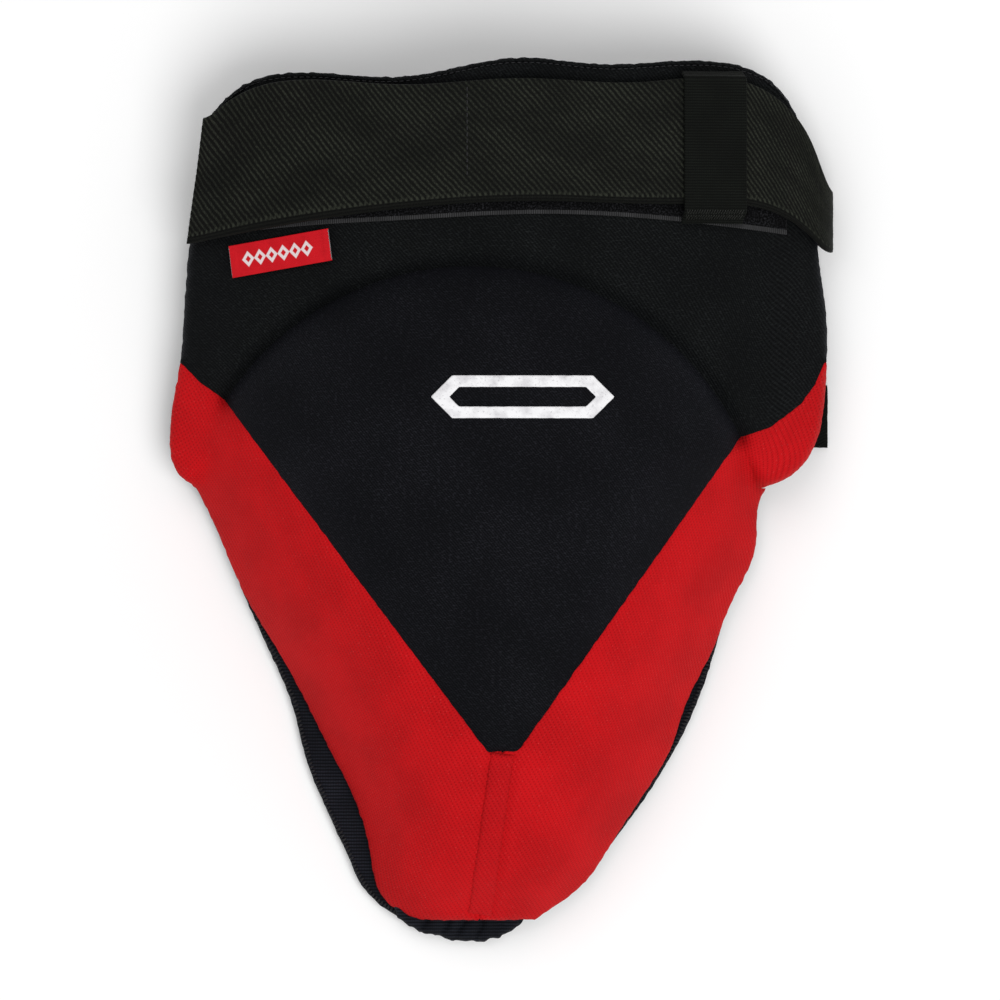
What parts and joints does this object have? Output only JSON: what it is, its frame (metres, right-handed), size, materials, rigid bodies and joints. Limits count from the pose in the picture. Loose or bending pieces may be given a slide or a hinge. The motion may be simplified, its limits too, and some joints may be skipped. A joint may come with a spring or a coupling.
{
  "type": "groin protector",
  "caption": "Padded cup guard with a domed front, waist yoke, wide elastic hook-and-loop belt through a keeper, and elastic leg loops.",
  "frame": {"origin": "bottom centre of the guard as it lies on its back: x = 0 on the axis of the hip curve, y = 0 half way along its length, z = 0 on the back run of the belt and the gusset's underside", "axes": "+Z is the outward front side, +Y points to the waist, X runs across the hips"},
  "size_m": [0.2655, 0.3536, 0.0855],
  "materials": {
    "black_twill": "matte",
    "red_mesh": "matte",
    "red_tape": "matte",
    "white_print": "matte",
    "impact_foam": "matte",
    "hard_cup": "satin",
    "soft_foam": "matte",
    "lining_knit": "matte",
    "elastic": "matte",
    "webbing": "satin",
    "loop_pile": "matte",
    "hook_tape": "satin",
    "label_satin": "satin"
  },
  "bodies": {
    "guard": {"front_panel": "black_twill", "yoke_panel": "black_twill", "trim_left": "red_mesh", "trim_right": "red_mesh", "wing_left": "red_mesh", "wing_right": "red_mesh", "seam_tape": "red_tape", "print_badge": "white_print", "impact_foam": "impact_foam", "cup_shell": "hard_cup", "cup_liner": "soft_foam", "cup_lining": "lining_knit", "rim_cushion": "soft_foam", "rim_cloth": "lining_knit", "yoke_foam": "soft_foam", "yoke_lining": "lining_knit", "top_binding": "black_twill", "crotch_gusset": "lining_knit", "loop_strip": "loop_pile", "belt_back": "elastic", "belt_anchor": "elastic", "belt_keeper": "webbing", "wing_anchor_left": "webbing", "wing_anchor_right": "webbing", "crotch_anchor_left": "webbing", "crotch_anchor_right": "webbing"},
    "belt": {"belt_front": "elastic"},
    "belt_end": {"belt_tab": "elastic", "hook_patch": "hook_tape"},
    "label": {"side_label": "label_satin"},
    "left_leg": {"leg_loop_left": "elastic"},
    "right_leg": {"leg_loop_right": "elastic"}
  },
  "joints": [
    {"name": "belt_tighten", "type": "hinge", "parent": "guard", "child": "belt", "pos_m": [0, 0.14, -0.16219], "axis": [0, -1, 0], "range_deg": [0, 4]},
    {"name": "belt_peel", "type": "hinge", "parent": "belt", "child": "belt_end", "pos_m": [-0.01309, 0.14, 0.06482], "axis": [0, 1, 0], "range_deg": [0, 140]},
    {"name": "label_flip", "type": "hinge", "parent": "guard", "child": "label", "pos_m": [-0.08827, 0.10496, 0.04211], "axis": [-0.9064, -0.1564, -0.3924], "range_deg": [0, 75]},
    {"name": "left_leg_open", "type": "hinge", "parent": "guard", "child": "left_leg", "pos_m": [-0.108, 0.03, 0.0003], "axis": [-0.4472, 0.8944, 0], "range_deg": [0, 110]},
    {"name": "right_leg_open", "type": "hinge", "parent": "guard", "child": "right_leg", "pos_m": [0.102, 0.03, 0.0003], "axis": [-0.4472, -0.8944, 0], "range_deg": [0, 110]}
  ]
}
